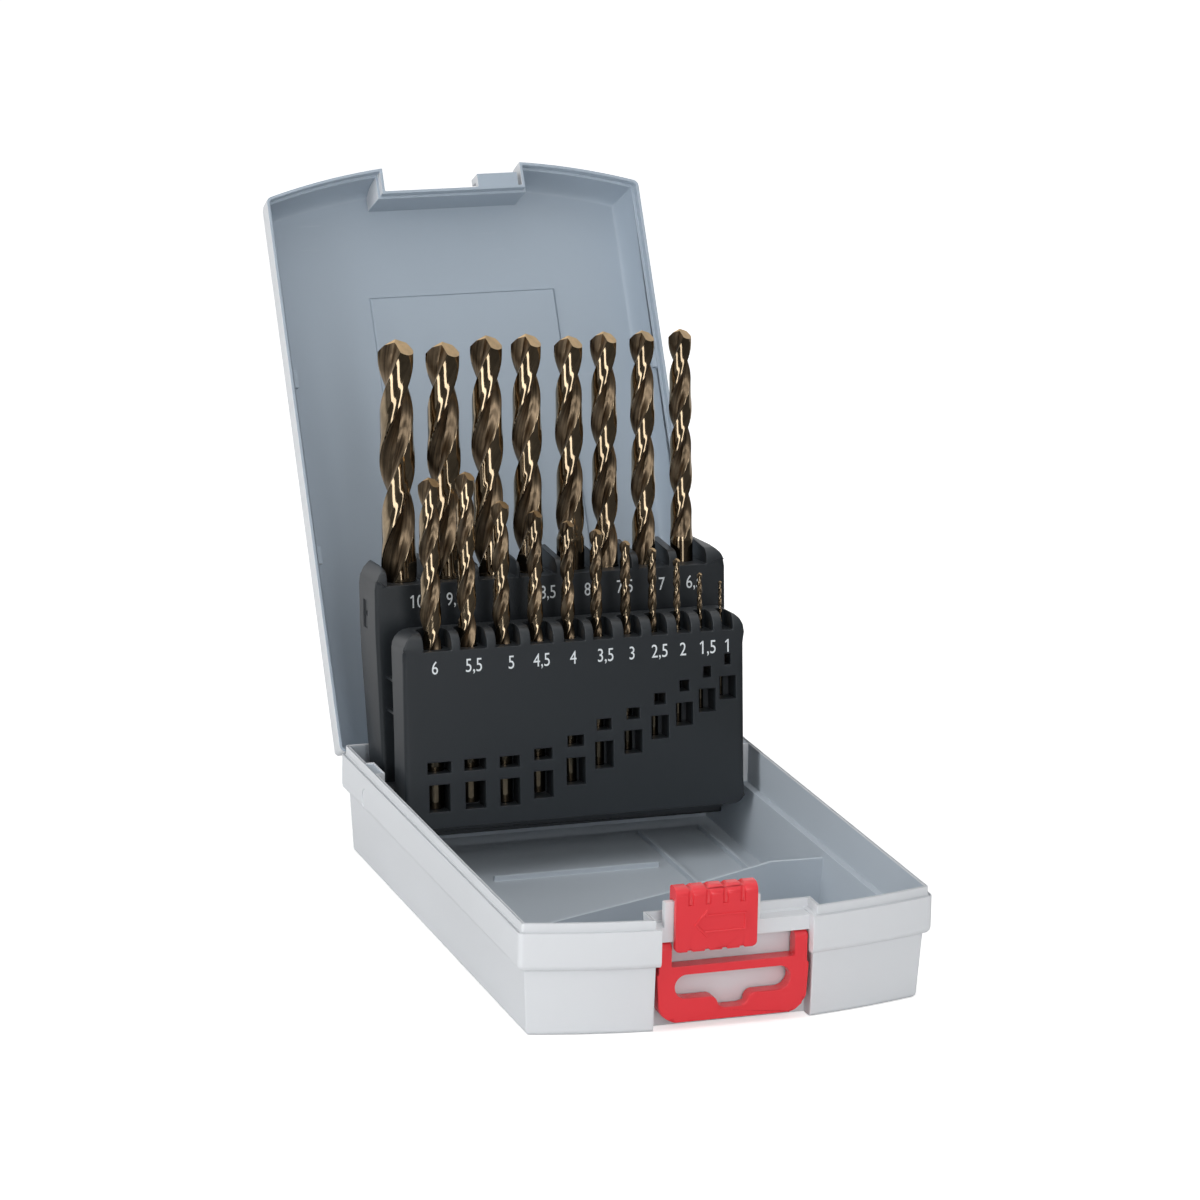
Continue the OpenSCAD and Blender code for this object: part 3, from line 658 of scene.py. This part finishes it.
class DRILLCASE_OT_pins(bpy.types.Operator):
    """Gives the hinge pins their drawn steel"""

    bl_idname = "drillcase.pins"
    bl_label = "Hinge pins"

    def execute(self, context):
        colour = context.scene.drillcase_colours.pin
        steel = metal("pin_steel", colour, colour, 0.28, 6000, 0.1, 0.04, twisted=False)
        for name in ("hinge_pin_left", "hinge_pin_right"):
            pin = frame["nodes"][name]
            pin.data.materials.clear()
            pin.data.materials.append(steel)
        return {"FINISHED"}


class DRILLCASE_OT_rack(bpy.types.Operator):
    """Dresses the rack: broad rounding round its end faces, fine rounding elsewhere"""

    bl_idname = "drillcase.rack"
    bl_label = "Rack"

    def execute(self, context):
        sizes = context.scene.drillcase_sizes
        piece = cad_copy("drill_rack", "rack_dressed")
        local = rack_matrix().inverted()

        def is_end_edge(edge):
            first, second = (local @ vertex.co for vertex in edge.verts)
            on_front = all(abs(spot.y + FRONT_FACE) < FACE_SLACK for spot in (first, second))
            on_back = all(abs(spot.y + BACK_FACE) < FACE_SLACK for spot in (first, second))
            least = min(abs(first.x), abs(second.x))
            at_end = on_front and least > FRONT_END or on_back and least > BACK_END
            return at_end and abs(first.z - second.z) > MM and edge.calc_face_angle(0) > HARD_ANGLE

        def is_open_edge(edge):
            for vertex in edge.verts:
                spot = local @ vertex.co
                in_front = -FRONT_FACE + RACK_SKIN < spot.y < -FRONT_FACE + FRONT_DEPTH
                in_back = -BACK_FACE + RACK_SKIN < spot.y < BACK_REAR
                inside = in_front and abs(spot.x) < FRONT_END or in_back and abs(spot.x) < BACK_END
                if inside and spot.z < SOCKET_TOP:
                    return False
            return edge.calc_face_angle(0) > HARD_ANGLE

        edit(piece)
        split_faces()
        pick(piece, "EDGE", is_end_edge)
        bpy.ops.mesh.bevel(offset=sizes.rack_end_edge, segments=4, affect="EDGES")
        pick(piece, "EDGE", is_open_edge)
        bpy.ops.mesh.bevel(offset=sizes.rack_edge, segments=2, affect="EDGES", miter_outer="SHARP")
        leave_edit()
        shade(piece)
        piece.data.materials.append(rack_plastic(context.scene.drillcase_colours))
        finish_piece(piece, "rack", "rack_plastic", "drill_rack")
        return {"FINISHED"}


def add_flag(label):
    """The short slanting stroke at the top of a leading 1, which the plain face leaves out."""
    tall = max(v.co.y for v in label.data.vertices)
    left = min(v.co.x for v in label.data.vertices if v.co.y > 0.95 * tall)
    edit(label)
    bpy.ops.mesh.primitive_cube_add(
        size=1, location=(left - FLAG_LEFT * tall, FLAG_UP * tall, 0), rotation=(0, 0, FLAG_TILT),
        scale=(FLAG_LENGTH * tall, FLAG_WIDTH * tall, 1),
    )
    leave_edit()


def print_label(words, x, depth, z, sizes, ink):
    """One printed size on a face of the rack, as a thin mesh in its place."""
    bpy.ops.object.select_all(action="DESELECT")
    bpy.ops.object.text_add(location=(0, 0, 0))
    text = bpy.context.object
    text.data.body = words
    text.data.align_x = "CENTER"
    text.data.resolution_u = 4
    text.data.extrude = 0.5
    only(text)
    bpy.ops.object.convert(target="MESH")
    label = bpy.context.object
    if words[0] == "1":
        add_flag(label)
    digits = [v.co for v in label.data.vertices]
    low = min(0.0, min(co.y for co in digits)) if "," not in words else 0.0
    tall = max(co.y for co in digits) - low
    grow = sizes.label_height / tall
    scale = Matrix.Diagonal((grow * sizes.label_width, grow, sizes.ink * 2, 1))
    centre = Matrix.Translation((0, -sizes.label_height / 2, 0))
    stand = Matrix.Rotation(math.radians(90), 4, "X")
    place = Matrix.Translation((x, -depth, z))
    label.data.transform(rack_matrix() @ place @ stand @ centre @ scale)
    label.data.materials.append(ink)
    return label


def join(pieces, name):
    only(pieces[0])
    for piece in pieces:
        piece.select_set(True)
    bpy.ops.object.join()
    joined = bpy.context.object
    joined.name = name
    joined.data.name = name
    return joined


class DRILLCASE_OT_numbers(bpy.types.Operator):
    """Prints the plain drill sizes on both tiers of the rack"""

    bl_idname = "drillcase.numbers"
    bl_label = "Size numbers"

    def execute(self, context):
        sizes = context.scene.drillcase_sizes
        ink = plastic("white_print", context.scene.drillcase_colours.ink, 0.55, 6000, 0.1)
        rows = (
            ("front_size_numbers", FRONT_LABELS, FRONT_FACE, FRONT_LABEL_Z),
            ("back_size_numbers", BACK_LABELS, BACK_FACE, BACK_LABEL_Z),
        )
        for name, labels, depth, z in rows:
            made = [print_label(words, x * MM, depth, z, sizes, ink) for words, x in labels.items()]
            finish_piece(join(made, name), "rack", "rack_plastic")
        return {"FINISHED"}


def round_corners(piece, width, test):
    """Rounds the corners of a plate's front view: the edges that run straight from front to back."""

    def is_corner(edge):
        low, high = sorted((vertex.co for vertex in edge.verts), key=lambda co: co.z)
        run = high - low
        straight = abs(run.y) > MM > 50 * math.hypot(run.x, run.z)
        return straight and edge.calc_face_angle(0) > CORNER_ANGLE and test(low, high)

    edit(piece)
    split_faces()
    pick(piece, "EDGE", is_corner)
    bpy.ops.mesh.bevel(offset=width, segments=5, affect="EDGES")
    leave_edit()


class DRILLCASE_OT_latch(bpy.types.Operator):
    """Dresses the sliding latch"""

    bl_idname = "drillcase.latch"
    bl_label = "Latch slider"

    def execute(self, context):
        sizes = context.scene.drillcase_sizes
        piece = cad_copy("latch_slider", "slider_dressed")
        low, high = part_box("latch_slider")
        reach = sizes.slider_corner / 2

        def at_corner(first, last):
            across = min(abs(first.x - low.x), abs(first.x - high.x))
            return across < reach and first.z - low.z < reach

        round_corners(piece, sizes.slider_corner, at_corner)
        soften(piece, sizes.red_edge * 0.4)
        shade(piece)
        piece.data.materials.append(red_plastic(context.scene.drillcase_colours))
        finish_piece(piece, "latch", "red_plastic", "latch_slider")
        return {"FINISHED"}


class DRILLCASE_OT_handle(bpy.types.Operator):
    """Dresses the hanger"""

    bl_idname = "drillcase.handle"
    bl_label = "Hanger"

    def execute(self, context):
        sizes = context.scene.drillcase_sizes
        piece = cad_copy("hanger_handle", "hanger_dressed")
        round_corners(piece, sizes.hanger_corner, lambda low, high: high.z < SLOT_TOP + 0.1 * MM)
        soften(piece, sizes.red_edge)
        shade(piece)
        piece.data.materials.append(red_plastic(context.scene.drillcase_colours))
        finish_piece(piece, "handle", "red_plastic", "hanger_handle")
        return {"FINISHED"}


# The drills


# Half of the section as (degrees from the cutting corner, share of the radius): flute, land, margin
FLUTE_CURVE = (
    (0, 1), (3, 0.93), (8, 0.82), (14, 0.7), (22, 0.57), (31, 0.47), (42, 0.39), (54, 0.36), (66, 0.4),
    (76, 0.5), (84, 0.64), (91, 0.8), (96, 0.91),
)
LAND_CURVE = (
    (98, 0.935), (107, 0.935), (117, 0.935), (127, 0.935), (137, 0.935), (143, 0.936), (148, 0.94),
    (153, 0.949), (158, 0.964), (163, 0.98), (167, 0.991), (171, 0.998), (174, 1), (177, 1),
)


def fluted_bar(radius, low, tip, sizes, fine):
    """The twisted bar: a section swept up the helix, then ground to a point by flats."""
    section = (FLUTE_CURVE if fine else FLUTE_CURVE[::2]) + LAND_CURVE
    section = [(math.radians(angle), share) for angle, share in section]
    section = section + [(angle + math.pi, share) for angle, share in section]
    pitch = sizes.pitch * 2 * radius
    rise = tip + radius * OVERRUN - low
    start = sizes.tip_turn - 2 * math.pi * (tip - low) / pitch
    bpy.ops.object.select_all(action="DESELECT")
    bpy.ops.mesh.primitive_circle_add(vertices=len(section), radius=radius, location=(0, 0, 0))
    bar = bpy.context.object
    for vertex, (angle, share) in zip(bar.data.vertices, section):
        turned = angle + start
        vertex.co = (radius * share * math.cos(turned), radius * share * math.sin(turned), low)
    turns = rise / pitch
    steps = max(6, round(turns * (FINE_STEPS if fine else PLAIN_STEPS)))
    modify(
        bar, "SCREW", axis="Z", angle=2 * math.pi * turns, screw_offset=rise, steps=steps,
        render_steps=steps, use_merge_vertices=False, use_smooth_shade=True,
    )
    edit(bar)
    bpy.ops.mesh.select_mode(type="EDGE")
    bpy.ops.mesh.select_all(action="SELECT")
    bpy.ops.mesh.region_to_loop()
    bpy.ops.mesh.edge_face_add()
    bpy.ops.mesh.select_all(action="SELECT")
    bpy.ops.mesh.normals_make_consistent(inside=False)
    for normal in flank_normals(sizes) + thinning_normals(sizes):
        bpy.ops.mesh.select_all(action="SELECT")
        bpy.ops.mesh.bisect(
            plane_co=(0, 0, tip), plane_no=normal, use_fill=True, clear_outer=True, threshold=CUT_SLACK
        )
    leave_edit()
    return bar


def flank_normals(sizes):
    """The two flats of the point, each falling outwards along its lip and back behind it."""
    fall = 1 / math.tan(sizes.point_angle / 2)
    lip = Vector((math.cos(sizes.tip_turn), math.sin(sizes.tip_turn), 0))
    behind = Vector((lip.y, -lip.x, 0))
    slope = lip * fall + behind * sizes.relief
    return [(slope + Vector((0, 0, 1))).normalized(), (Vector((0, 0, 1)) - slope).normalized()]


def thinning_normals(sizes):
    """Small flats ahead of the lips, which thin the web so that the point ends in a tip."""
    fall = 1 / math.tan(sizes.point_angle / 2)
    normals = []
    for ahead in (35, 75):
        for half in (0, 180):
            turn = sizes.tip_turn + math.radians(ahead + half)
            normals.append(Vector((fall * math.cos(turn), fall * math.sin(turn), 1)).normalized())
    return normals


def shank_bar(radius, flute_end, run, core, name):
    """The plain shank, whose top narrows to the core where the grinding wheel left the flutes."""
    bpy.ops.object.select_all(action="DESELECT")
    bpy.ops.mesh.primitive_cylinder_add(
        vertices=48, radius=radius, depth=flute_end, location=(0, 0, flute_end / 2), end_fill_type="NGON"
    )
    shank = bpy.context.object
    bpy.ops.object.transform_apply(location=True, rotation=True, scale=True)
    shank.name = name
    edit(shank)
    pick(shank, "FACE", lambda f: f.normal.z > 0.9)
    steps = 10
    last = radius
    for i in range(1, steps + 1):
        left = 1 - i / steps
        now = core + (radius - core) * left * left
        bpy.ops.mesh.extrude_region_move(TRANSFORM_OT_translate={"value": (0, 0, run / steps)})
        bpy.ops.transform.resize(value=(now / last, now / last, 1), center_override=(0, 0, flute_end))
        last = now
    pick(shank, "FACE", lambda f: f.normal.z < -0.9)
    bpy.ops.mesh.bevel(offset=radius * SHANK_CHAMFER, segments=2, affect="EDGES")
    leave_edit()
    return shank


def combine(piece, other, operation):
    """Applies a boolean with another solid, which is used up."""
    modify(piece, "BOOLEAN", operation=operation, object=other, solver="EXACT")
    bpy.data.objects.remove(other)


def drill_place(name, radius):
    """Where a drill's shank end stands, and its length, from its CAD node's box."""
    low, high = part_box(name)
    foot = Vector((
        (low.x + high.x) / 2, low.y + radius * math.cos(RACK_LEAN), low.z + radius * math.sin(RACK_LEAN)
    ))
    return foot, (high.z - foot.z) / math.cos(RACK_LEAN)


def store_untwisted(bar, pitch):
    """Keeps each point's place with the helix taken out, along which the grinding streaks run."""
    places = bar.data.attributes.new(UNTWISTED, "FLOAT_VECTOR", "POINT")
    for vertex, place in zip(bar.data.vertices, places.data):
        place.vector = Matrix.Rotation(-2 * math.pi * vertex.co.z / pitch, 3, "Z") @ vertex.co


def make_drill(name, sizes, finishes_and_shade):
    """One drill from its node's place and length, with its finishes and the shank's painted shade in the
    order of the slots.
    """
    diameter = float(name[len("drill_"):].replace("_", ".")) * MM
    radius = diameter / 2
    foot, length = drill_place(name, radius)
    fine = diameter > FINE_DIAMETER
    flute_end = length * (1 - FLUTE_SHARES[name])
    core = radius * CORE_SHARE
    run = min(1.8 * diameter, length * 0.2)
    bar = fluted_bar(radius, flute_end, length, sizes, fine)
    shank_top = flute_end + SHANK_OVERLAP * radius
    combine(bar, shank_bar(radius * SHANK_SHARE, shank_top, run, core, name + "_shank"), "UNION")
    bar.name = name + "_ground"
    bar.data.name = bar.name
    for finish_or_shade in finishes_and_shade:
        bar.data.materials.append(finish_or_shade)
    flats = flank_normals(sizes) + thinning_normals(sizes)
    # Faces below the flutes get the shank's darkened bronze: painted shade for where the shank stands inside
    # the rack
    for face in bar.data.polygons:
        out = math.hypot(face.center.x, face.center.y) / radius
        near_tip = face.center.z > length - radius * POINT_REACH
        if near_tip and max(face.normal.dot(flat) for flat in flats) > 0.99:
            face.material_index = POINT
        elif face.center.z < flute_end:
            face.material_index = SHANK
        elif out > LAND_FROM:
            face.material_index = LAND
        else:
            face.material_index = FLUTE
    store_untwisted(bar, sizes.pitch * diameter)
    bar.data.transform(Matrix.Translation(foot) @ Matrix.Rotation(-RACK_LEAN, 4, "X"))
    only(bar)
    bpy.ops.object.shade_smooth_by_angle(angle=DRILL_SMOOTH_ANGLE)
    finish_piece(bar, name, "drill_steel", name)


class DRILLCASE_OT_drills(bpy.types.Operator):
    """Grinds the twist drills: flutes, margins, run-outs and points"""

    bl_idname = "drillcase.drills"
    bl_label = "Twist drills"

    def execute(self, context):
        colours = context.scene.drillcase_colours
        sizes = context.scene.drillcase_sizes
        finishes_and_shade = (
            metal("flute_bronze", colours.flute, dim(colours.flute, 0.7), 0.38, 1500, 0.55, 0.9),
            metal("land_bronze", colours.land, dim(colours.land, 0.75), 0.08, 4200, 0.12, 0.015),
            metal("point_bronze", colours.point, dim(colours.point, 0.85), 0.34, 6000, 0.1, 0.05),
            # The shank's bronze is the lands' colour darkened: painted shade for the shank standing inside
            # the rack's sockets
            metal("shank_bronze", dim(colours.land, 0.5), dim(colours.land, 0.38), 0.08, 4200, 0.12, 0.015),
        )
        for name in DRILL_NODES:
            make_drill(name, sizes, finishes_and_shade)
        return {"FINISHED"}


# The stage

CAMERA_AZIMUTH = math.radians(18.92)
CAMERA_ELEVATION = math.radians(15.29)
CAMERA_ROLL = math.radians(0.98)
CAMERA_LENS = 160.65
CAMERA_DISTANCE = 1440.35 * MM
CAMERA_TARGET = Vector((-8.37, 0, 91.77)) * MM
SENSOR_WIDTH = 36

# Each lamp: name, degrees to the camera's right, height above the floor, width and radiance
KEY_LAMPS = (("left_key", -60, 0.42, 0.45, 5.8), ("right_key", 17.5, 0.5, 0.42, 4))
GLINT_LAMPS = (("left_glint", -35, 0.45, 0.17, 3.4), ("right_glint", 17.5, 0.45, 0.17, 3.4))
KEY_DISTANCE = 1.3
GLINT_DISTANCE = 0.6
AMBIENT = 0.52


def place_camera():
    """The photograph's view of the case."""
    data = bpy.data.cameras.new("camera")
    camera = bpy.data.objects.new("camera", data)
    bpy.context.scene.collection.objects.link(camera)
    bpy.context.scene.camera = camera
    data.lens = CAMERA_LENS
    data.sensor_width = SENSOR_WIDTH
    data.clip_end = 50
    ahead = Vector((
        math.sin(CAMERA_AZIMUTH) * math.cos(CAMERA_ELEVATION),
        math.cos(CAMERA_AZIMUTH) * math.cos(CAMERA_ELEVATION),
        -math.sin(CAMERA_ELEVATION),
    ))
    right = Vector((math.cos(CAMERA_AZIMUTH), -math.sin(CAMERA_AZIMUTH), 0))
    up = right.cross(ahead)
    rolled_right = right * math.cos(CAMERA_ROLL) + up * math.sin(CAMERA_ROLL)
    rolled_up = up * math.cos(CAMERA_ROLL) - right * math.sin(CAMERA_ROLL)
    turn = Matrix((rolled_right, rolled_up, -ahead)).transposed().to_4x4()
    camera.matrix_world = Matrix.Translation(CAMERA_TARGET - ahead * CAMERA_DISTANCE) @ turn


def place_lamp(name, spot, aim, width, height, radiance):
    """A soft box whose own brightness is given, so that its glint is too."""
    data = bpy.data.lights.new(name, "AREA")
    data.shape = "RECTANGLE"
    data.size = width
    data.size_y = height
    data.energy = radiance * math.pi * width * height
    lamp = bpy.data.objects.new(name, data)
    bpy.context.scene.collection.objects.link(lamp)
    lamp.location = spot
    lamp.rotation_euler = (Vector(aim) - Vector(spot)).to_track_quat("-Z", "Y").to_euler()
    return lamp


def around(degrees_right, distance, height):
    """A spot on a circle round the case, counted from the camera's side."""
    turn = CAMERA_AZIMUTH - math.radians(degrees_right)
    return (-distance * math.sin(turn), -distance * math.cos(turn), height)


def paint_world():
    """Even light for matt surfaces, white for the camera, and a dim front for what shines."""
    world = bpy.data.worlds.new("studio")
    bpy.context.scene.world = world
    world.use_nodes = True
    tree = world.node_tree
    shader = tree.nodes["Background"]
    path = node(tree, "ShaderNodeLightPath")
    split = node(tree, "ShaderNodeSeparateXYZ")
    link(tree, node(tree, "ShaderNodeTexCoord").outputs["Generated"], split.inputs[0])
    above = spread(tree, split.outputs["Z"], 0.45, 0.8, 0.1, 0.75)
    shine = math_node(tree, "MAXIMUM", above, spread(tree, split.outputs["Y"], 0.3, 0.6, 0.1, 1))
    dimmed = node(tree, "ShaderNodeMix", data_type="FLOAT")
    link(tree, path.outputs["Is Glossy Ray"], dimmed.inputs[0])
    dimmed.inputs[2].default_value = AMBIENT
    link(tree, shine, dimmed.inputs[3])
    seen = math_node(tree, "MAXIMUM", path.outputs["Is Camera Ray"], path.outputs["Is Transmission Ray"])
    link(tree, math_node(tree, "MAXIMUM", dimmed.outputs[0], seen), shader.inputs["Strength"])
    shader.inputs["Color"].default_value = (1, 1, 1, 1)


def floor_finish(colour):
    """Matt white floor that keeps the shadow, lifted for the camera and dark in glints from in front."""
    material, tree, shader = principled("floor_white")
    path = node(tree, "ShaderNodeLightPath")
    split = node(tree, "ShaderNodeSeparateXYZ")
    link(tree, node(tree, "ShaderNodeTexCoord").outputs["Object"], split.inputs[0])
    front = spread(tree, split.outputs["Y"], 0.05, 0.3, 0.9, 0)
    dark = math_node(tree, "MULTIPLY", path.outputs["Is Glossy Ray"], front)
    link(tree, mix_colour(tree, dark, (*colour, 1), (0.05, 0.05, 0.05, 1)), shader.inputs["Base Color"])
    shader.inputs["Roughness"].default_value = 1
    shader.inputs["Specular IOR Level"].default_value = 0
    lift = math_node(tree, "MULTIPLY", path.outputs["Is Camera Ray"], 0.5)
    shader.inputs["Emission Color"].default_value = (1, 1, 1, 1)
    link(tree, lift, shader.inputs["Emission Strength"])
    return material


class DRILLCASE_OT_stage(bpy.types.Operator):
    """Sets the floor, the soft light and the camera"""

    bl_idname = "drillcase.stage"
    bl_label = "Stage"

    def execute(self, context):
        bpy.ops.object.select_all(action="DESELECT")
        bpy.ops.mesh.primitive_plane_add(size=16, location=(0, 2, -0.02 * MM))
        floor = bpy.context.object
        floor.name = "floor"
        bpy.ops.object.transform_apply(location=True, rotation=True, scale=True)
        floor.data.materials.append(floor_finish(context.scene.drillcase_colours.floor))
        aim = (0, 0, 0.09)
        place_lamp("top_box", (-0.1, 0.1, 1.6), aim, 1.4, 1.2, 1)
        for name, turn, height, width, radiance in KEY_LAMPS:
            spot = around(turn, KEY_DISTANCE, height)
            place_lamp(name, spot, aim, width, 1, radiance).visible_glossy = False
        for name, turn, height, width, radiance in GLINT_LAMPS:
            spot = around(turn, GLINT_DISTANCE, height)
            place_lamp(name, spot, (0, 0, height), width, 0.88, radiance).visible_diffuse = False
        context.scene.view_settings.view_transform = "Standard"
        place_camera()
        paint_world()
        return {"FINISHED"}


OPERATORS = (
    DRILLCASE_OT_stage,
    DRILLCASE_OT_base,
    DRILLCASE_OT_lid,
    DRILLCASE_OT_pins,
    DRILLCASE_OT_rack,
    DRILLCASE_OT_numbers,
    DRILLCASE_OT_latch,
    DRILLCASE_OT_handle,
    DRILLCASE_OT_drills,
)


class DRILLCASE_PT_panel(bpy.types.Panel):
    """Lists the pieces of the case, each with its button"""

    bl_idname = "DRILLCASE_PT_panel"
    bl_label = "Drill Case"
    bl_space_type = "VIEW_3D"
    bl_region_type = "UI"
    bl_category = "Drill Case"

    def draw(self, context):
        for operator in OPERATORS:
            self.layout.operator(operator.bl_idname)
        for group in (context.scene.drillcase_sizes, context.scene.drillcase_colours):
            for name in group.bl_rna.properties.keys():
                if name not in ("rna_type", "name"):
                    self.layout.prop(group, name)


CLASSES = (CaseSizes, CaseColours, *OPERATORS, DRILLCASE_PT_panel)


def register():
    for made in CLASSES:
        bpy.utils.register_class(made)
    bpy.types.Scene.drillcase_sizes = bpy.props.PointerProperty(type=CaseSizes)
    bpy.types.Scene.drillcase_colours = bpy.props.PointerProperty(type=CaseColours)


def unregister():
    del bpy.types.Scene.drillcase_colours
    del bpy.types.Scene.drillcase_sizes
    for made in reversed(CLASSES):
        bpy.utils.unregister_class(made)


def main():
    register()
    bpy.ops.drillcase.stage()
    bpy.ops.drillcase.base()
    bpy.ops.drillcase.lid()
    bpy.ops.drillcase.pins()
    bpy.ops.drillcase.rack()
    bpy.ops.drillcase.numbers()
    bpy.ops.drillcase.latch()
    bpy.ops.drillcase.handle()
    bpy.ops.drillcase.drills()


if __name__ == "__main__":
    main()
